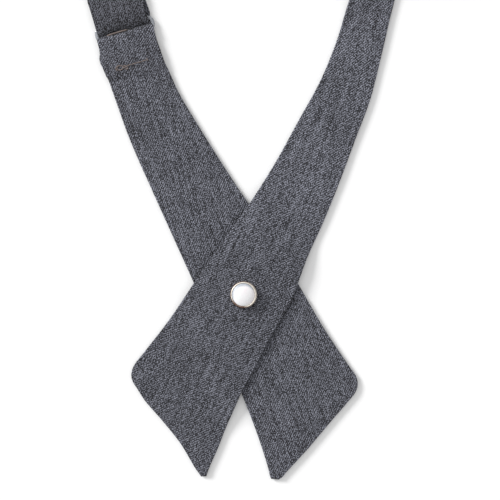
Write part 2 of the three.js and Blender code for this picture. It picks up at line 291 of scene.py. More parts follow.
def bend_rows(centre_along, centre_z, run, rise, from_angle, to_angle, steps, ends, cloth):
    """Rows round a bend as long as run and as high as rise from its middle: 0 degrees is up the
    strap and 90 out of the cloth's face. ends gives the ends of the first row and of the last."""
    rows = []
    for i in range(steps + 1):
        angle = math.radians(lerp(from_angle, to_angle, i / steps))
        along = centre_along + run * math.cos(angle)
        z = centre_z + rise * math.sin(angle)
        share = smoothstep(i / steps, 0, 0.5)
        left, right = (lerp(a, b, share) for a, b in zip(*ends))
        rows.append((beside_ring(left, along, z), beside_ring(right, along, z), cloth))
    return rows


def row_inset(width, k):
    """How far the k-th point of a row stands in from its left edge, and how far it is rounded."""
    turn = min(EDGE_ROUND, width / 4)
    from_edge = min(k, SECTIONS - k)
    if from_edge == EDGE_POINTS + 1:
        inset = turn + min(EDGE_FIRM, width / FACE_POINTS)
        return inset if k < SECTIONS / 2 else width - inset, 1.0
    if from_edge > EDGE_POINTS:
        return lerp(turn, width - turn, (k - EDGE_POINTS) / FACE_POINTS), 1.0
    angle = math.pi / 2 * from_edge / EDGE_POINTS
    inset = turn * (1 - math.cos(angle))
    return inset if k < SECTIONS / 2 else width - inset, math.sin(angle)


# Painted highlights where the twill's ridges catch the light: x, y, reach, how much
LIT_RIDGES = [(-38.4, 111.5, 5.0, 0.35), (-54.5, 122.5, 8.0, 0.20)]


def lit_ridges(point):
    return sum(
        share * math.exp(-((point.xy - Vector((x, y)) * MM).length / (reach * MM)) ** 2)
        for x, y, reach, share in LIT_RIDGES
    )


def loft_strap(name, rows, lift, relief, shade_at, patterns, material):
    """A strap as a closed body, pressed thinner towards its rounded edges. The map of its weave
    is in millimetres, and each point has a painted shade and a painted highlight for the twill's
    ridges."""
    middle = []
    for i, (left, right, cloth) in enumerate(rows):
        width = (right - left).length
        line = []
        for k in range(SECTIONS + 1):
            inset, rounded = row_inset(width, k)
            point = left.lerp(right, inset / width)
            line.append((point + lift(point, i), min(inset, width - inset), rounded, inset / width))
        middle.append(line)
    last = len(rows) - 1
    points = []
    shades = []
    ridges = []
    places = []
    for i, line in enumerate(middle):
        cloth = rows[i][2]
        before = middle[max(i - 1, 0)]
        after = middle[min(i + 1, last)]
        closing = min((min(i, last - i) + 0.5) / 2, 1)
        face = []
        under = []
        flat = []
        for k, (point, from_edge, rounded, share) in enumerate(line):
            sideways = line[min(k + 1, SECTIONS)][0] - line[max(k - 1, 0)][0]
            normal = sideways.cross(after[k][0] - before[k][0]).normalized()
            thick = lerp(min(EDGE_CLOTH, cloth), cloth, smoothstep(from_edge, 0, EDGE_REACH))
            rounded = rounded * closing
            rise = thick * (1 + rounded) / 2 - cloth / 2 + relief(point, i) * rounded
            face.append(point + normal * rise)
            under.append(point + normal * (thick * (1 - rounded) / 2 - cloth / 2))
            flat.append(patterns[i][0].lerp(patterns[i][1], share) / MM)
            shades.append(shade_at(point, i))
            ridges.append(lit_ridges(point))
        points.extend(face)
        points.extend(under)
        shades.extend(shades[-len(face) :])
        ridges.extend(ridges[-len(face) :])
        places.extend([*flat, *flat])
    count = SECTIONS + 1
    ring = [*range(count), *range(2 * count - 2, count, -1)]
    faces = []
    for i in range(last):
        for k, place in enumerate(ring):
            a = 2 * count * i + place
            b = 2 * count * i + ring[(k + 1) % len(ring)]
            faces.append((a, b, b + 2 * count, a + 2 * count))
    tail = 2 * count * last
    for k in range(SECTIONS):
        faces.append((k + 1, k, k + count, k + 1 + count))
        faces.append((tail + k, tail + k + 1, tail + k + 1 + count, tail + k + count))
    piece = add_mesh(name, points, faces, material)
    weave = piece.data.uv_layers.new(name="weave_mm")
    for loop in piece.data.loops:
        weave.data[loop.index].uv = places[loop.vertex_index]
    for attribute, values in (("shade", shades), ("ridges", ridges)):
        piece.data.attributes.new(attribute, "FLOAT", "POINT").data.foreach_set("value", values)
    weld_edges(piece)
    return piece


WELD_REACH = 0.001 * MM


def weld_edges(piece):
    """Joins the face and the underside where they meet along the edges."""
    weld = piece.modifiers.new("weld", "WELD")
    weld.merge_threshold = WELD_REACH
    settle(piece)


def settle(piece):
    """Applies all the modifiers of a piece to its mesh."""
    ready = piece.evaluated_get(bpy.context.evaluated_depsgraph_get())
    mesh = bpy.data.meshes.new_from_object(ready)
    piece.modifiers.clear()
    piece.data = mesh


def turned(point, angle):
    return Vector((
        point.x * math.cos(angle) - point.y * math.sin(angle),
        point.x * math.sin(angle) + point.y * math.cos(angle),
    ))


def plan_heading(rows, i, reach=8):
    """The way that the strap runs on the table."""
    low = max(i - reach, 0)
    high = min(i + reach, len(rows) - 1)
    return (rows[high][0] + rows[high][1] - rows[low][0] - rows[low][1]).xy.normalized()


def flat_pattern(rows, warp_angle, straightened, lying_rows):
    """Where each row's ends lie on the flat cloth, turned so that the warp runs upwards. The
    first rows lie on the table, and straightened gives how far each was turned as the strap was
    bent to its curve. The others follow on, square to the strap."""
    patterns = []
    centre = Vector((0, 0))
    last = (rows[0][0] + rows[0][1]) / 2
    for i, (left, right, cloth) in enumerate(rows):
        middle = (left + right) / 2
        if i < lying_rows:
            turn = straightened(rows, i)
            centre = centre + turned((middle - last).xy, turn)
            across = turned((right - left).xy.normalized(), turn)
            heading = turned(plan_heading(rows, i, 2), turn)
        else:
            centre = centre + heading * (middle - last).length
            across = Vector((heading.y, -heading.x))
        last = middle
        half = (right - left).length / 2
        ends = (centre - across * half, centre + across * half)
        patterns.append([turned(end, math.radians(90 - warp_angle)) for end in ends])
    return patterns


# Twill cloth: warp and weft of heather yarn, two over and two under, so that ridges run up to
# the right. Sizes are millimetres of the weave map, and tones run from 0, dark, to 1, light.
WARP_PITCH = 0.29
WEFT_PITCH = 0.346
REPEAT = 4.0
WARP_OVER = 1.5
WARP_TONES = (-0.07, 0.24)
FLECK_TONE = 0.16
# Light and dark crossings stand out from the ones beside and below them
SLUBS = [(0, 0, 1.12), (-1, 0, -0.25), (0, -1, -0.25)]
SLUB_LAYER = 3.0
STREAKS_PER_MM = (1.0, 0.06)
STREAK_TONE = 0.24
CLOUDS_PER_MM = (0.35, 0.25)
CLOUD_TONE = 0.02
MIDDLE_TONE = 0.55
DARK_TONE = 0.05
# The yarns differ more where the painted shade is darker
FULL_SHADE = 0.64
NO_SHADE = 0.9
SHADED_CONTRAST = 2.0
WEFT_NUMBERS = 5000.0
YARN_DARK = (0.0071, 0.0063, 0.0079)
YARN_MIDDLE = (0.0398, 0.0413, 0.0499)
YARN_LIGHT = (0.239, 0.2465, 0.2935)
YARN_ROUNDNESS = 0.4
RIDGE_ROUNDNESS = 0.6
RIDGE_HEIGHT = 0.10 * MM


def math_node(nodes, links, operation, first, second=None):
    node = nodes.new("ShaderNodeMath")
    node.operation = operation
    for socket, value in zip(node.inputs, (first, second)):
        if isinstance(value, (int, float)):
            socket.default_value = value
        elif value is not None:
            links.new(value, socket)
    return node.outputs["Value"]


def combine(nodes, links, x, y, z=0.0):
    node = nodes.new("ShaderNodeCombineXYZ")
    for socket, value in zip(node.inputs, (x, y, z)):
        if isinstance(value, (int, float)):
            socket.default_value = value
        else:
            links.new(value, socket)
    return node.outputs["Vector"]


def mix_value(nodes, links, factor, first, second):
    node = nodes.new("ShaderNodeMix")
    links.new(factor, node.inputs["Factor"])
    for socket, value in zip((node.inputs["A"], node.inputs["B"]), (first, second)):
        links.new(value, socket)
    return node.outputs["Result"]


def colour_ramp(nodes, links, value, stops):
    """Colours that change with a value, from stops of position and colour in rising order."""
    node = nodes.new("ShaderNodeValToRGB")
    links.new(value, node.inputs["Fac"])
    colours = node.color_ramp.elements
    for colour, (position, rgb) in zip(colours, (stops[0], stops[-1])):
        colour.position = position
        colour.color = (*rgb, 1)
    for position, rgb in stops[1:-1]:
        colours.new(position).color = (*rgb, 1)
    return node.outputs["Color"]


def add_bump(nodes, links, shader, height, strength, distance):
    bump = nodes.new("ShaderNodeBump")
    bump.inputs["Strength"].default_value = strength
    bump.inputs["Distance"].default_value = distance
    links.new(height, bump.inputs["Height"])
    links.new(bump.outputs["Normal"], shader.inputs["Normal"])


def heather_twill(name):
    material, nodes, links, shader = new_material(name)

    def calc(operation, first, second=None):
        return math_node(nodes, links, operation, first, second)

    def add(value, more):
        return calc("ADD", value, more)

    def white_noise(x, y, layer=0.0):
        node = nodes.new("ShaderNodeTexWhiteNoise")
        node.noise_dimensions = "3D" if layer else "2D"
        links.new(combine(nodes, links, x, y, layer), node.inputs["Vector"])
        return node.outputs["Value"]

    def weave_place(per_mm):
        return combine(nodes, links, calc("MULTIPLY", u, per_mm[0]), calc("MULTIPLY", v, per_mm[1]))

    def point_value(attribute):
        node = nodes.new("ShaderNodeAttribute")
        node.attribute_name = attribute
        return node.outputs["Fac"]

    weave = nodes.new("ShaderNodeUVMap")
    weave.uv_map = "weave_mm"
    place = nodes.new("ShaderNodeSeparateXYZ")
    links.new(weave.outputs["UV"], place.inputs["Vector"])
    u = place.outputs["X"]
    v = place.outputs["Y"]
    warp_place = calc("DIVIDE", u, WARP_PITCH)
    weft_place = calc("DIVIDE", v, WEFT_PITCH)
    warp = calc("FLOOR", warp_place)
    weft = calc("FLOOR", weft_place)
    step = calc("SUBTRACT", warp, weft)
    turn = calc("FLOORED_MODULO", step, REPEAT)
    warp_up = calc("LESS_THAN", turn, WARP_OVER)
    float_number = calc("FLOOR", calc("DIVIDE", step, REPEAT))
    yarn = mix_value(nodes, links, warp_up, add(weft, WEFT_NUMBERS), warp)

    fleck = white_noise(yarn, float_number)
    streaks = add_noise(nodes, links, weave_place(STREAKS_PER_MM), 1.0, 4.0, 0.65)
    clouds = add_noise(nodes, links, weave_place(CLOUDS_PER_MM), 1.0)
    tone = calc("MULTIPLY", fleck, FLECK_TONE)
    for beside, below, share in SLUBS:
        slub = white_noise(add(warp, beside), add(weft, below), SLUB_LAYER)
        tone = add(tone, calc("MULTIPLY", slub, share))
    tone = add(tone, spread(nodes, links, streaks, 0.3, 0.7, -STREAK_TONE, STREAK_TONE))
    tone = add(tone, spread(nodes, links, clouds, 0.25, 0.75, -CLOUD_TONE, CLOUD_TONE))
    tone = add(tone, spread(nodes, links, warp_up, 0.0, 1.0, *WARP_TONES))
    # Painted highlights on the twill's ridges
    tone = add(tone, calc("MULTIPLY", calc("SUBTRACT", warp_up, 0.5), point_value("ridges")))
    # The painted shade of each point darkens or lightens the yarns' colour
    shade = point_value("shade")
    contrast = spread(nodes, links, shade, FULL_SHADE, NO_SHADE, SHADED_CONTRAST, 1.0)
    tone = add(calc("MULTIPLY", calc("SUBTRACT", tone, MIDDLE_TONE), contrast), MIDDLE_TONE)
    yarn_colour = colour_ramp(
        nodes, links, tone, [(DARK_TONE, YARN_DARK), (MIDDLE_TONE, YARN_MIDDLE), (1.0, YARN_LIGHT)]
    )
    shaded = nodes.new("ShaderNodeVectorMath")
    shaded.operation = "SCALE"
    links.new(yarn_colour, shaded.inputs["Vector"])
    links.new(shade, shaded.inputs["Scale"])
    links.new(shaded.outputs["Vector"], shader.inputs["Base Color"])

    across = mix_value(nodes, links, warp_up, calc("FRACT", weft_place), calc("FRACT", warp_place))
    round_yarn = calc("SINE", calc("MULTIPLY", across, math.pi))
    slant = calc("DIVIDE", calc("SUBTRACT", warp_place, weft_place), REPEAT)
    ridge = calc("ABSOLUTE", calc("SINE", calc("MULTIPLY", slant, math.pi)))
    yarns = calc("MULTIPLY", round_yarn, YARN_ROUNDNESS)
    height = add(yarns, calc("MULTIPLY", ridge, RIDGE_ROUNDNESS))
    add_bump(nodes, links, shader, height, 1.0, RIDGE_HEIGHT)
    links.new(spread(nodes, links, fleck, 0.0, 1.0, 0.95, 0.8), shader.inputs["Roughness"])
    shader.inputs["Specular IOR Level"].default_value = 0.25
    shader.inputs["Sheen Weight"].default_value = 0.12
    shader.inputs["Sheen Roughness"].default_value = 0.5
    return material


twill = heather_twill("heather_twill")


def as_it_lies(rows, i):
    """The back strap's warp keeps one direction while the strap curves."""
    return 0.0


def back_lift(point, row):
    """Below the ring the strap rises over its own folded end, and its fold bulges a little at
    both sides of the middle."""
    if row >= flat_count:
        bulge = LOOP_BULGE * smoothstep(abs(across_of(point) + 1 * MM), 2 * MM, 6 * MM)
        return ALONG_AXIS * (bulge * smoothstep(along_of(point), -5 * MM, -2.5 * MM))
    return UPWARDS * (FLAP_LIFT * smoothstep(along_of(point), FLAP_END - 4 * MM, FLAP_END))


# Faint creases along the warp: start, end, depth, width
BACK_CREASES = [((31.4, -47.4), (34.3, -53.0), 0.22, 0.7)]

# Painted shadow beside the front strap's two edges, where it lies on this one, and painted
# light past the right edge's shadow: each edge's line, and the shade at distances from it
LEFT_EDGE_LINE = [(-22.0, 4.2), (-8.6, 23.0), (5.0, 42.7)]
RIGHT_EDGE_LINE = [(21.5, 0.8), (10.8, -18.3), (0.2, -38.5)]
PAINTED_EDGE_SHADING = [
    (LEFT_EDGE_LINE, [(0, 0.62), (3.4, 1.0)]),
    (RIGHT_EDGE_LINE, [(0, 0.55), (0.6, 0.75), (1.3, 1.10), (2.4, 1.12), (4.5, 1.0)]),
]
# Shades that multiply the colour: lighter towards the ring, and a painted shadow in the loop's fold
# at the ring
BACK_STRAP_SHADE = 1.05
LOOP_SHADE = 0.91
LOOP_TOP_SHADE = 1.10
FOLD_SHADE = 0.42


def distance_to_line(point, line):
    nearest = []
    for start, end in zip(line, line[1:]):
        start = Vector(start) * MM
        run = Vector(end) * MM - start
        share = min(max((point.xy - start).dot(run) / run.length_squared, 0), 1)
        nearest.append((point.xy - start - run * share).length)
    return min(nearest)


def crease_depth(point, creases):
    depth = 0.0
    for start, end, most, width in creases:
        away = distance_to_line(point, (start, end)) / (width * MM)
        if away < 3:
            depth += most * MM * math.exp(-away * away)
    return depth


def ripples(point):
    return RIPPLE * noise.noise(point / RIPPLE_SIZE)


def back_relief(point, row):
    return ripples(point) - crease_depth(point, BACK_CREASES)


def back_shade(point, row):
    if row >= flat_count:
        along = along_of(point)
        shade = lerp(LOOP_SHADE, LOOP_TOP_SHADE, smoothstep(along, -9 * MM, -5 * MM))
        return lerp(shade, FOLD_SHADE, smoothstep(along, -2.2 * MM, -0.7 * MM))
    shade = lerp(1.0, BACK_STRAP_SHADE, smoothstep(point.y, 0, 30 * MM))
    for line, steps in PAINTED_EDGE_SHADING:
        away = distance_to_line(point, line) / MM
        for (near, near_shade), (far, far_shade) in zip(steps, steps[1:]):
            if near <= away < far:
                shade *= lerp(near_shade, far_shade, smoothstep(away, near, far))
    return shade


# Up to the ring, round its lower bar and back under the strap: along, z, left, right, thickness
LOOP_UP = [
    (-18.9, 1.40, -12.5, 12.7, 1.5),
    (-17.5, 1.46, -12.8, 12.6, 1.5),
    (-15.5, 1.46, -13.1, 12.5, 1.5),
    (-12.5, 1.43, -13.6, 12.3, 1.4),
    (-9.8, 1.36, -13.8, 12.1, 1.25),
    (-8.2, 1.34, -13.3, 12.0, 1.1),
    (-6.5, 1.45, -12.9, 12.0, 0.9),
    (-4.5, 1.86, -12.7, 12.0, 0.75),
    (-2.7, 1.94, -12.7, 12.1, 0.65),
]
LOOP_FLAP = [
    (-2.7, 0.33, -11.8, 11.8, 0.65),
    (-5.0, 0.33, -12.3, 11.9, 0.65),
    (-9.0, 0.33, -13.9, 12.0, 0.65),
    (-11.0, 0.33, -14.0, 12.0, 0.65),
    (-13.0, 0.33, -13.6, 12.0, 0.65),
    (-17.5, 0.33, -13.0, 12.0, 0.65),
]
LOOP_RUN = 1.72 * MM
LOOP_ENDS = ((-12.7 * MM, 12.1 * MM), (-11.8 * MM, 11.8 * MM))

flat_rows = edge_rows(BACK_EDGES)
flat_count = len(flat_rows)
back_rows = [
    *flat_rows,
    *profile_rows(LOOP_UP, 4)[2:-1],
    *bend_rows(-BAR_ALONG, BAR_Z, LOOP_RUN, FOLD_RISE, 90, -90, 20, LOOP_ENDS, END_CLOTH),
    *profile_rows(LOOP_FLAP, 4)[1:],
]
BACK_WARP = 106.5


POST_HOLE = 2.1 * MM
PUNCH_SIDES = 40
PUNCH_LOW = -1 * MM
PUNCH_HIGH = 12 * MM


def pierce(piece, radius):
    """The hole for the snap's post, on the origin's axis."""
    sides = PUNCH_SIDES
    around = []
    for i in range(sides):
        angle = 2 * math.pi * i / sides
        around.append((math.cos(angle) * radius, math.sin(angle) * radius))
    points = [(x, y, z) for z in (PUNCH_LOW, PUNCH_HIGH) for x, y in around]
    faces = [(i, (i + 1) % sides, sides + (i + 1) % sides, sides + i) for i in range(sides)]
    faces.append(tuple(reversed(range(sides))))
    faces.append(tuple(range(sides, 2 * sides)))
    punch = add_mesh("punch", points, faces, twill)
    cut = piece.modifiers.new("cut", "BOOLEAN")
    cut.operation = "DIFFERENCE"
    cut.solver = "EXACT"
    cut.object = punch
    settle(piece)
    bpy.data.objects.remove(punch)


back_strap = loft_strap(
    "back_strap_cloth",
    back_rows,
    back_lift,
    back_relief,
    back_shade,
    flat_pattern(back_rows, BACK_WARP, as_it_lies, flat_count),
    twill,
)
pierce(back_strap, POST_HOLE)
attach(back_strap, "root")
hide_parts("back_strap")


# Sewing at the loop
# A row of brown machine stitches holds the folded end down. It is doubled back in small curls at
# its left end, and a loose end of the same thread lies along the loop's fold.
THREAD = 0.42 * MM
LOOSE_THREAD = THREAD * 1.4
THREAD_SIDES = 8
THREAD_TAPER = 0.4
THREAD_DARK = (0.115, 0.092, 0.086)
THREAD_LIGHT = (0.225, 0.182, 0.168)

# In millimetres, the height of the loop's face, and across and along of both ends of each
# stitch: from left to right, then the one that crosses the row's end and the one that begins it
LOOP_FACE = 2.21
STITCHES = [
    (-4.5, -14.9, -3.2, -15.4),
    (-3.1, -15.4, -1.1, -15.3),
    (-0.9, -15.35, 1.1, -15.3),
    (1.2, -15.25, 3.3, -15.35),
    (3.4, -15.25, 5.5, -15.2),
    (5.75, -14.5, 5.95, -15.6),
    (-8.0, -16.2, -7.1, -15.0),
]
# How far along a stitch, and its height over the loop's face there
STITCH_ARCH = [(0, -0.2), (0.2, 0.08), (0.8, 0.1), (1, -0.2)]
# Places along each curl: across and along
CURLS = [
    [
        (-8.3, -15.8), (-7.8, -14.9), (-6.6, -14.5), (-5.3, -14.9),
        (-4.8, -15.6), (-5.4, -16.2), (-6.6, -16.3), (-7.6, -15.9),
    ],
    [(-5.8, -16.5), (-4.6, -15.8), (-3.4, -15.8), (-3.0, -16.5), (-3.8, -16.7), (-4.7, -16.2)],
]
CURL_END = -0.2
CURL_RISE = 0.12
# Places along the loose end: across, along and height
LOOSE_END = [
    (-8.2, -0.9, 1.6),
    (-7.0, -0.65, 1.9),
    (-5.4, -0.6, 1.98),
    (-3.6, -0.55, 1.98),
    (-1.5, -0.5, 1.9),
    (1.0, -0.5, 1.65),
]


def add_thread(name, runs, thickness, material):
    """Round thread along smooth runs of points, tapered at both ends."""
    points = []
    faces = []
    for run in runs:
        line = smooth_line(run, [4] * (len(run) - 1))
        for i, place in enumerate(line):
            heading = (line[min(i + 1, len(line) - 1)] - line[max(i - 1, 0)]).normalized()
            sideways = heading.cross(UPWARDS).normalized()
            upwards = sideways.cross(heading)
            radius = thickness / 2 * (THREAD_TAPER if i in (0, len(line) - 1) else 1)
            first = len(points)
            for side in range(THREAD_SIDES):
                angle = 2 * math.pi * side / THREAD_SIDES
                out = sideways * math.cos(angle) + upwards * math.sin(angle)
                points.append(place + out * radius)
                if i:
                    beside = (side + 1) % THREAD_SIDES
                    under = first - THREAD_SIDES
                    faces.append((first + side, first + beside, under + beside, under + side))
        tail = len(points) - THREAD_SIDES
        head = tail - THREAD_SIDES * (len(line) - 1)
        faces.append(tuple(range(head, head + THREAD_SIDES)))
        faces.append(tuple(reversed(range(tail, tail + THREAD_SIDES))))
    return add_mesh(name, points, faces, material)


def brown_thread(name):
    material, nodes, links, shader = new_material(name)
    ply = add_noise(nodes, links, object_place(nodes), 2400.0)
    ply_colour = colour_ramp(nodes, links, ply, [(0.35, THREAD_DARK), (0.65, THREAD_LIGHT)])
    links.new(ply_colour, shader.inputs["Base Color"])
    links.new(spread(nodes, links, ply, 0.3, 0.7, 0.7, 0.9), shader.inputs["Roughness"])
    shader.inputs["Specular IOR Level"].default_value = 0.3
    return material


def at_loop(across, along, z):
    """A place beside the ring from sizes in millimetres."""
    return beside_ring(across * MM, along * MM, z * MM)


stitch_runs = []
for start_across, start_along, end_across, end_along in STITCHES:
    stitch = []
    for share, rise in STITCH_ARCH:
        across = lerp(start_across, end_across, share)
        stitch.append(at_loop(across, lerp(start_along, end_along, share), LOOP_FACE + rise))
    stitch_runs.append(stitch)
for curl in CURLS:
    # Every third point lies over another turn of the curl
    humps = [CURL_RISE + CURL_RISE * (i % 3 == 1) for i in range(len(curl) - 2)]
    heights = [CURL_END, *humps, CURL_END]
    stitch_runs.append([at_loop(*place, LOOP_FACE + rise) for place, rise in zip(curl, heights)])
thread_finish = brown_thread("brown_thread")
stitches = add_thread("loop_stitches", stitch_runs, THREAD, thread_finish)
loose_run = [at_loop(*place) for place in LOOSE_END]
loose_end = add_thread("loose_thread", [loose_run], LOOSE_THREAD, thread_finish)
for sewing in (stitches, loose_end):
    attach(sewing, "root")


# Front strap
# The other strap, of the same twill. Its blade lies over the back strap, and it goes on as the
# neckband, which stands on edge round the neck and comes down to the slider and the ring.
FRONT_EDGES = [
    (-18.4, -77.6, -16.2, -77.5),
    (-19.3, -76.2, -15.7, -75.8),
    (-20.9, -74.0, -14.9, -73.6),
    (-27.1, -63.6, -11.2, -65.3),
    (-35.0, -53.7, -8.0, -57.0),
    (-42.2, -45.4, -4.8, -49.6),
    (-45.6, -40.2, -2.7, -44.9),
    (-47.7, -36.7, -1.9, -43.0),
    (-48.1, -33.8, -1.2, -41.2),
    (-46.9, -30.2, 0.2, -38.5),
    (-42.5, -24.5, 2.8, -33.9),
    (-32.0, -10.9, 10.8, -18.3),
    (-20.5, 6.1, 19.9, -2.2),
    (-8.6, 23.0, 26.9, 16.0),
    (3.3, 40.2, 33.9, 31.5),
    (13.9, 57.2, 41.1, 49.4),
    (23.3, 74.3, 47.3, 66.2),
    (32.6, 91.3, 53.5, 82.8),
    (39.5, 108.3, 58.5, 102.3),
    (43.3, 120.9, 61.8, 116.6),
]

# The neckband's middle line, how far it turns up from flat, and its width
NECK_ROUTE = [
    (56.6, 133, 12, 18.7),
    (59.6, 148, 32, 19.1),
    (59.8, 163, 56, 19.6),
    (53.8, 178, 75, 20.2),
    (41, 191, 84, 20.7),
    (22, 199.5, 86, 21.1),
    (1, 203, 86, 21.5),
    (-20, 202.5, 85, 21.8),
    (-39.5, 197.5, 81, 22),
    (-53.5, 189.5, 70, 22.2),
    (-61.5, 179, 50, 22.3),
    (-64.3, 168, 28, 22.3),
    (-63.7, 158.6, 9, 22.3),
]

# The back strap's two edges where the front one crosses it: a place and the way out over the edge
CROSSING = [
    ((-22 * MM, 6.2 * MM), (-0.918, -0.397)),
    ((2 * MM, 38 * MM), (0.832, 0.555)),
]
SETTLE_FROM = 2 * MM
SETTLE_TO = 16 * MM

# How far the band's fold hangs down from the ring's bar: place across the band, sag
FOLD_SAG = [
    (-13.0, 1.6),
    (-11.0, 1.4),
    (-9.5, 1.0),
    (-8.0, 0.7),
    (-6.0, 0.25),
    (0.0, 0.25),
    (2.5, 0.6),
    (8.0, 0.6),
    (11.0, 1.0),
    (13.0, 1.0),
]


def sag_at(across):
    """How far the band's fold hangs down at a place across it."""
    for (start, first), (end, second) in zip(FOLD_SAG, FOLD_SAG[1:]):
        if across <= end * MM:
            return lerp(first, second, smoothstep(across, start * MM, end * MM)) * MM
    return FOLD_SAG[-1][1] * MM


def front_lift(point, row):
    """The front strap lies over the back one and comes down to the table on both sides of it.
    Its band hangs unevenly in the ring."""
    if row < plan_count:
        past = max((point.xy - Vector(edge)).dot(Vector(way)) for edge, way in CROSSING)
        return UPWARDS * (LAYER * (1 - smoothstep(past, SETTLE_FROM, SETTLE_TO)))
    if row < neck_end:
        return Vector((0, 0, 0))
    return ALONG_AXIS * (-sag_at(across_of(point)) * smoothstep(along_of(point), 6 * MM, 2 * MM))


def neck_rows(steps):
    """Rows across the neckband, which turns up on its edge, with a number of them for each gap of
    its route."""
    route = [Vector((x, y, 0)) * MM for x, y, tilt, width in NECK_ROUTE]
    line = smooth_line(route, [steps] * (len(route) - 1))
    rows = []
    for i, middle in enumerate(line):
        row = min(i // steps, len(NECK_ROUTE) - 2)
        share = i / steps - row
        tilt = math.radians(lerp(NECK_ROUTE[row][2], NECK_ROUTE[row + 1][2], share))
        half = lerp(NECK_ROUTE[row][3], NECK_ROUTE[row + 1][3], share) / 2 * MM
        heading = (line[min(i + 1, len(line) - 1)] - line[max(i - 1, 0)]).normalized()
        inwards = Vector((-heading.y, heading.x, 0))
        middle = middle.copy()
        middle.z = half * math.sin(tilt) + CLOTH / 2 * math.cos(tilt)
        reach = (inwards * math.cos(tilt) + Vector((0, 0, math.sin(tilt)))) * half
        rows.append((middle + reach, middle - reach, CLOTH))
    return rows


# The slider that the band comes down through, measured from the ring up the strap
SLIDER_START = 18.6 * MM
SLIDER_BAR = 2 * MM
SLIDER_SLOT = 5 * MM
SLIDER_THICK = 1.0 * MM
SLIDER_MIDDLE = SLIDER_START + SLIDER_BAR + SLIDER_SLOT + SLIDER_BAR / 2
SLIDER_BAR_Z = 2 * END_CLOTH + 2 * END_CLEAR + SLIDER_THICK / 2
BAR_REACH = 0.25 * MM
WRAP_RUN = SLIDER_BAR / 2 + END_CLEAR + END_CLOTH / 2
WRAP_RISE = SLIDER_THICK / 2 + END_CLEAR + END_CLOTH / 2
# The band's end goes round the middle bar, and the band passes over it: height, run, rise
ROUND_BAR = (SLIDER_BAR_Z, WRAP_RUN, WRAP_RISE)
OVER_BAR = (SLIDER_BAR_Z, WRAP_RUN + END_CLOTH + END_CLEAR, WRAP_RISE + END_CLOTH + END_CLEAR)

# Along, z, left, right and thickness, for someone who walks down the band with its face up
BAND_DOWN = [
    (41, 0.75, 11.1, -11.1, 1.5),
    (39.5, 0.75, 11.1, -11.1, 1.4),
    (38, 0.72, 11.1, -11.1, 1.2),
    (36.5, 0.70, 11.1, -11.1, 1.0),
    (35, 0.75, 11.1, -11.1, 0.75),
    (32.6, 0.95, 11.1, -11.1, 0.65),
]
BAND_TO_RING = [
    (20.6, 1.04, 11.5, -11.5, 0.65),
    (18.6, 1.05, 11.6, -11.9, 0.65),
    (15, 1.17, 11.8, -12.2, 0.65),
    (13, 1.36, 11.8, -12.1, 0.65),
    (11, 1.55, 11.5, -12.0, 0.65),
    (8.5, 1.78, 10.9, -11.9, 0.65),
    (6.5, 1.87, 10.4, -11.9, 0.65),
    (4.5, 1.94, 10.4, -11.9, 0.65),
    (2.7, 1.94, 11.0, -11.8, 0.65),
]
BAND_BACK = [
    (2.7, 0.33, 11.6, -11.0, 0.65),
    (4.5, 0.33, 12.2, -10.9, 0.65),
    (7, 0.33, 12.1, -10.8, 0.65),
    (10, 0.33, 11.8, -10.7, 0.65),
    (19, 0.33, 11.6, -10.7, 0.65),
    (22.5, 0.50, 11.1, -11.1, 0.65),
]
BAND_RUN = 2.17 * MM
BAND_ENDS = ((11.1 * MM, -11.1 * MM), (11.1 * MM, -11.1 * MM))
RING_ENDS = ((11.0 * MM, -11.8 * MM), (11.6 * MM, -11.2 * MM))

NECK_STEPS = 12
JOIN_STEPS = 10

plan_rows = edge_rows(FRONT_EDGES)
plan_count = len(plan_rows)
neck = neck_rows(NECK_STEPS)
join_left = smooth_line([plan_rows[-1][0], neck[0][0]], [JOIN_STEPS])
join_right = smooth_line([plan_rows[-1][1], neck[0][1]], [JOIN_STEPS])
join = [(left, right, CLOTH) for left, right in zip(join_left, join_right)]
front_rows = [
    *plan_rows[:-1],
    *join[:-1],
    *neck,
    *profile_rows(BAND_DOWN, 5),
    *bend_rows(SLIDER_MIDDLE + BAR_REACH, *OVER_BAR, 0, 90, 10, BAND_ENDS, END_CLOTH),
    *bend_rows(SLIDER_MIDDLE - BAR_REACH, *OVER_BAR, 90, 180, 10, BAND_ENDS, END_CLOTH),
    *profile_rows(BAND_TO_RING, 4)[:-1],
    *bend_rows(BAR_ALONG, BAR_Z, BAND_RUN, FOLD_RISE, 90, 270, 20, RING_ENDS, END_CLOTH),
    *profile_rows(BAND_BACK, 5)[1:],
    *bend_rows(SLIDER_MIDDLE, *ROUND_BAR, 200, -60, 28, BAND_ENDS, END_CLOTH),
]
FRONT_WARP = 93.8
BLADE_ROWS = 62


def along_the_strap(rows, i):
    """The front strap's warp follows its curve, from the row where its blade begins."""
    heading = plan_heading(rows, max(i, BLADE_ROWS))
    return math.pi / 2 - math.atan2(heading.y, heading.x)


# Shades that multiply the colour: painted shade on the band and a painted shadow in its fold at the
# ring
FRONT_BLADE_SHADE = 0.96
FRONT_STRAP_SHADE = 1.17
BAND_SHADE = 0.61
BAND_FOLD_SHADE = 0.44
EDGE_HIGHLIGHT_SHADE = 1.25
# The neckband darkens over so many rows, up to so many before its last one
DARKENING_ROWS = 30
DARK_ROWS = 20
neck_end = len(plan_rows) + len(join) + len(neck) - DARK_ROWS

# Faint creases along the warp and the seam at the blade's tip: start, end, depth, width
FRONT_CREASES = [
    ((-15.0, -5.3), (-12.0, -20.2), 0.20, 0.7),
    ((-16.3, -73.8), (-17.6, -76.4), 0.25, 0.35),
]

# A darker place and a lighter one: x, y, reach, shade
FRONT_PATCHES = [(34.3, 89.1, 7.0, 0.86), (-2.0, -41.3, 0.8, 1.5)]


def front_relief(point, row):
    if row >= plan_count:
        return ripples(point)
    return ripples(point) - crease_depth(point, FRONT_CREASES)


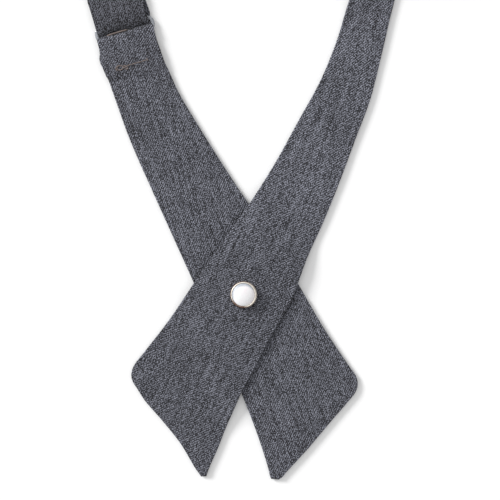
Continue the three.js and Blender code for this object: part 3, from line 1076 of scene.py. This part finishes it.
def front_shade(point, row):
    if row >= plan_count:
        darkened = smoothstep(row, neck_end - DARKENING_ROWS, neck_end)
        shade = lerp(FRONT_STRAP_SHADE, BAND_SHADE, darkened)
        near_fold = smoothstep(along_of(point), 6.5 * MM, 0.8 * MM) if row > neck_end else 0
        return lerp(shade, BAND_FOLD_SHADE, near_fold)
    shade = lerp(FRONT_BLADE_SHADE, FRONT_STRAP_SHADE, smoothstep(point.y, 5 * MM, 45 * MM))
    # Painted highlight along the right edge, where it lies over the back strap
    from_edge = distance_to_line(point, RIGHT_EDGE_LINE)
    shade *= lerp(EDGE_HIGHLIGHT_SHADE, 1.0, smoothstep(from_edge, 0.2 * MM, 1.6 * MM))
    for x, y, reach, most in FRONT_PATCHES:
        away = (point.xy - Vector((x, y)) * MM).length / (reach * MM)
        if away < 3:
            shade *= lerp(1.0, most, math.exp(-away * away))
    return shade


front_strap = loft_strap(
    "front_strap_cloth",
    front_rows,
    front_lift,
    front_relief,
    front_shade,
    flat_pattern(front_rows, FRONT_WARP, along_the_strap, plan_count),
    twill,
)
pierce(front_strap, POST_HOLE)
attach(front_strap, "root")
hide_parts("front_strap")


# Ring and slider
# Two moulded frames of clear plastic. The ring joins the band to the back strap's loop, and the
# slider sets the band's length. The ring's ends are round and show beside the cloth.
FRAME_SOFTEN = 0.4 * MM
CORNER_STEPS = 12
PLASTIC_DARK = (0.39, 0.41, 0.45)
PLASTIC_LIGHT = (0.51, 0.53, 0.57)


def frame_path(half_length, half_width, corner, wire):
    """The middle line of a frame's wire: a place and the way out of the frame at each point."""
    path = []
    for quarter in range(4):
        centre = Vector((
            (half_length - corner) * (1 if quarter in (0, 3) else -1),
            (half_width - corner) * (1 if quarter in (0, 1) else -1),
        ))
        for step in range(CORNER_STEPS + 1):
            angle = math.pi / 2 * (quarter + step / CORNER_STEPS)
            out = Vector((math.cos(angle), math.sin(angle)))
            path.append((centre + out * (corner - wire / 2), out))
    return path


def wire_section(wire, thick):
    """The wire's section, with softened corners: outwards and up from its middle."""
    section = []
    for quarter in range(4):
        across = (wire / 2 - FRAME_SOFTEN) * (1 if quarter in (0, 3) else -1)
        up = (thick / 2 - FRAME_SOFTEN) * (1 if quarter in (0, 1) else -1)
        for step in range(4):
            angle = math.pi / 2 * (quarter + step / 3)
            corner = (across + FRAME_SOFTEN * math.cos(angle), up + FRAME_SOFTEN * math.sin(angle))
            section.append(corner)
    return section


def add_frame(name, centre_along, z, sizes, skew, middle_bar, material):
    """A moulded frame beside the ring's place; sizes are its half length and half width, its
    corners' radius, and its wire's width and thickness."""
    half_length, half_width, corner, wire, thick = sizes
    section = wire_section(wire, thick)
    path = frame_path(half_length, half_width, corner, wire)
    points = []
    faces = []

    def add_rows(rows, closed):
        first = len(points)
        for i, (middle, out) in enumerate(rows):
            for k, (across, up) in enumerate(section):
                place = turned(middle + out * across, skew)
                points.append(beside_ring(place.x, place.y + centre_along, z + up))
                if i + 1 < len(rows) or closed:
                    here = first + i * len(section)
                    after = first + (i + 1) % len(rows) * len(section)
                    beside = (k + 1) % len(section)
                    faces.append((here + k, after + k, after + beside, here + beside))

    add_rows(path, True)
    if middle_bar:
        reach = half_length - wire
        add_rows([(Vector((x, 0)), Vector((0, 1))) for x in (reach, 0, -reach)], False)
    return add_mesh(name, points, faces, material)


def clear_plastic(name):
    material, nodes, links, shader = new_material(name)
    place = object_place(nodes)
    haze = add_noise(nodes, links, place, 260.0)
    haze_colour = colour_ramp(nodes, links, haze, [(0.3, PLASTIC_DARK), (0.7, PLASTIC_LIGHT)])
    links.new(haze_colour, shader.inputs["Base Color"])
    links.new(spread(nodes, links, haze, 0.3, 0.7, 0.06, 0.16), shader.inputs["Roughness"])
    shader.inputs["IOR"].default_value = 1.49
    shader.inputs["Transmission Weight"].default_value = 0.55
    add_bump(nodes, links, shader, add_noise(nodes, links, place, 700.0), 0.3, 0.05 * MM)
    return material


plastic = clear_plastic("clear_plastic")
RING_SIZES = (12.95 * MM, RING_SLOT / 2 + WIRE, 2.9 * MM, WIRE, RING_THICK)
RING_SKEW = math.radians(-1)
ring = add_frame("adjuster_ring_clear", 0, BAR_Z, RING_SIZES, RING_SKEW, False, plastic)
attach(ring, "root")
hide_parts("adjuster_ring")
SLIDER_HALF_WIDTH = SLIDER_BAR * 1.5 + SLIDER_SLOT
SLIDER_SIZES = (13.5 * MM, SLIDER_HALF_WIDTH, 2.5 * MM, SLIDER_BAR, SLIDER_THICK)
slider = add_frame("band_slider_clear", SLIDER_MIDDLE, SLIDER_BAR_Z, SLIDER_SIZES, 0, True, plastic)
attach(slider, "root")
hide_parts("band_slider")


# Snap
# A pearl cap set in a turned rose gold rim, riveted through both straps to a steel disc behind.
# The rim stands on a narrow foot, coloured dark brown, and its lower left side has a painted shade.

# Radius and height in millimetres, from the middle below to the middle above
RIM_PROFILE = [
    (0, 3.4), (5.3, 3.4), (5.58, 3.45), (5.68, 3.6), (5.68, 3.75), (5.6, 3.85),
    (5.5, 3.95), (5.47, 4.2), (5.38, 5.0), (5.32, 5.3), (5.22, 5.48), (5.08, 5.55),
    (4.98, 5.5), (4.92, 5.36), (4.9, 5.15), (4.9, 4.5), (0, 4.5),
]
PEARL_PROFILE = [
    (0, 4.6), (4.5, 4.6), (4.76, 4.7), (4.84, 4.9), (4.84, 5.2), (4.77, 5.38), (4.6, 5.55),
    (4.3, 5.76), (3.85, 5.97), (3.2, 6.19), (2.5, 6.37), (1.7, 6.50), (0.9, 6.58), (0, 6.6),
]
TURNED_SIDES = 96

# It leans a little to the left in the soft cloth
LEAN = Matrix.Rotation(math.radians(-4), 4, "Y")
RIM_DULL = (0.82, 0.74, 0.64)
RIM_BRIGHT = (0.92, 0.87, 0.79)
# Painted shade on the rim's lower left side, and the colour of its dark brown foot
RIM_SHADE = (0.20, 0.11, 0.075)
RIM_FOOT = (0.13, 0.07, 0.045)
SHADED_SIDE = (-0.42, -0.91)
PEARL_PINK = (0.76, 0.71, 0.73)
PEARL_WHITE = (0.75, 0.75, 0.76)
PEARL_GREEN = (0.71, 0.75, 0.73)
# The pearl's painted shade, and the place from which it is lightest
PEARL_SHADE = (0.36, 0.385, 0.43)
PEARL_LIGHTEST = (0.05 * MM, -0.95 * MM, 5.8 * MM)
STEEL_GREY = (0.60, 0.60, 0.61)


def add_turned(name, profile, material):
    """A turned piece from the radius and height of its profile, on the origin's axis."""
    points = [(0, 0, profile[0][1] * MM)]
    for radius, height in profile[1:-1]:
        for side in range(TURNED_SIDES):
            angle = 2 * math.pi * side / TURNED_SIDES
            x = math.cos(angle) * radius * MM
            y = math.sin(angle) * radius * MM
            points.append((x, y, height * MM))
    points.append((0, 0, profile[-1][1] * MM))
    faces = []
    top_ring = len(points) - 1 - TURNED_SIDES
    for side in range(TURNED_SIDES):
        beside = (side + 1) % TURNED_SIDES
        faces.append((0, 1 + beside, 1 + side))
        for first in range(1, top_ring, TURNED_SIDES):
            above = first + TURNED_SIDES
            faces.append((first + side, first + beside, above + beside, above + side))
        faces.append((top_ring + side, top_ring + beside, len(points) - 1))
    return add_mesh(name, [LEAN @ Vector(point) for point in points], faces, material)


def smooth_spread(nodes, links, value, low, high, to_low=0.0, to_high=1.0):
    result = spread(nodes, links, value, low, high, to_low, to_high)
    result.node.interpolation_type = "SMOOTHSTEP"
    return result


# The mix node's sockets for colours, which share their names with those for other kinds
MIX_FACTOR = 0
MIX_FIRST = 6
MIX_SECOND = 7
MIX_RESULT = 2


def mix_colour(nodes, links, factor, first, second):
    node = nodes.new("ShaderNodeMix")
    node.data_type = "RGBA"
    links.new(factor, node.inputs[MIX_FACTOR])
    for number, colour in ((MIX_FIRST, first), (MIX_SECOND, second)):
        if isinstance(colour, tuple):
            node.inputs[number].default_value = (*colour, 1)
        else:
            links.new(colour, node.inputs[number])
    return node.outputs[MIX_RESULT]


def towards(nodes, links, place, x, y):
    """How far each point lies from the axis towards a side, in metres."""
    node = nodes.new("ShaderNodeVectorMath")
    node.operation = "DOT_PRODUCT"
    node.inputs[1].default_value = (x, y, 0)
    links.new(place, node.inputs[0])
    return node.outputs["Value"]


def rose_gold(name):
    """Painted shade at its lower left side, and dark brown on its foot."""
    material, nodes, links, shader = new_material(name)
    place = object_place(nodes)
    wear_and_shade = add_noise(nodes, links, place, 700.0)
    brightness = spread(nodes, links, wear_and_shade, 0.35, 0.65, 0.0, 1.0)
    polish = mix_colour(nodes, links, brightness, RIM_DULL, RIM_BRIGHT)
    # Painted shade, patchy, on the rim's lower left side
    shaded_side = towards(nodes, links, place, *SHADED_SIDE)
    below = smooth_spread(nodes, links, shaded_side, 3.6 * MM, 4.9 * MM)
    patchy = spread(nodes, links, wear_and_shade, 0.25, 0.5, 0.6, 1.0)
    side_shade = math_node(nodes, links, "MULTIPLY", below, patchy)
    polish = mix_colour(nodes, links, side_shade, polish, RIM_SHADE)
    height = nodes.new("ShaderNodeSeparateXYZ")
    links.new(place, height.inputs["Vector"])
    foot = smooth_spread(nodes, links, height.outputs["Z"], 4.6 * MM, 3.9 * MM)
    polish = mix_colour(nodes, links, foot, polish, RIM_FOOT)
    links.new(polish, shader.inputs["Base Color"])
    shader.inputs["Metallic"].default_value = 0.5
    links.new(spread(nodes, links, wear_and_shade, 0.3, 0.7, 0.38, 0.5), shader.inputs["Roughness"])
    return material


def pearl(name):
    """White, with a painted grey-blue shade round its upper side and a faint pink and green lustre.
    """
    material, nodes, links, shader = new_material(name)
    place = object_place(nodes)
    lustre = add_noise(nodes, links, place, 260.0)
    sheen = colour_ramp(
        nodes, links, lustre, [(0.3, PEARL_PINK), (0.5, PEARL_WHITE), (0.7, PEARL_GREEN)]
    )
    centre = nodes.new("ShaderNodeVectorMath")
    centre.operation = "DISTANCE"
    centre.inputs[1].default_value = PEARL_LIGHTEST
    links.new(place, centre.inputs[0])
    uneven = spread(nodes, links, lustre, 0.3, 0.7, -0.3 * MM, 0.3 * MM)
    away = math_node(nodes, links, "ADD", centre.outputs["Value"], uneven)
    shaded = smooth_spread(nodes, links, away, 4.0 * MM, 5.3 * MM)
    links.new(mix_colour(nodes, links, shaded, sheen, PEARL_SHADE), shader.inputs["Base Color"])
    links.new(spread(nodes, links, lustre, 0.3, 0.7, 0.4, 0.5), shader.inputs["Roughness"])
    shader.inputs["Specular IOR Level"].default_value = 0.3
    shader.inputs["Coat Weight"].default_value = 0.2
    shader.inputs["Coat Roughness"].default_value = 0.3
    return material


def steel(name):
    material, nodes, links, shader = new_material(name)
    brushed = add_noise(nodes, links, object_place(nodes), 1200.0)
    links.new(spread(nodes, links, brushed, 0.3, 0.7, 0.28, 0.42), shader.inputs["Roughness"])
    shader.inputs["Base Color"].default_value = (*STEEL_GREY, 1)
    shader.inputs["Metallic"].default_value = 1.0
    return material


snap_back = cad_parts["snap_post"]
snap_back.data.materials.clear()
snap_back.data.materials.append(steel("steel"))
rim = add_turned("snap_rim_turned", RIM_PROFILE, rose_gold("rose_gold"))
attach(rim, "root")
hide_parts("snap_rim")
pearl_top = add_turned("pearl_turned", PEARL_PROFILE, pearl("pearl"))
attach(pearl_top, "root")
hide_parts("pearl_cap")
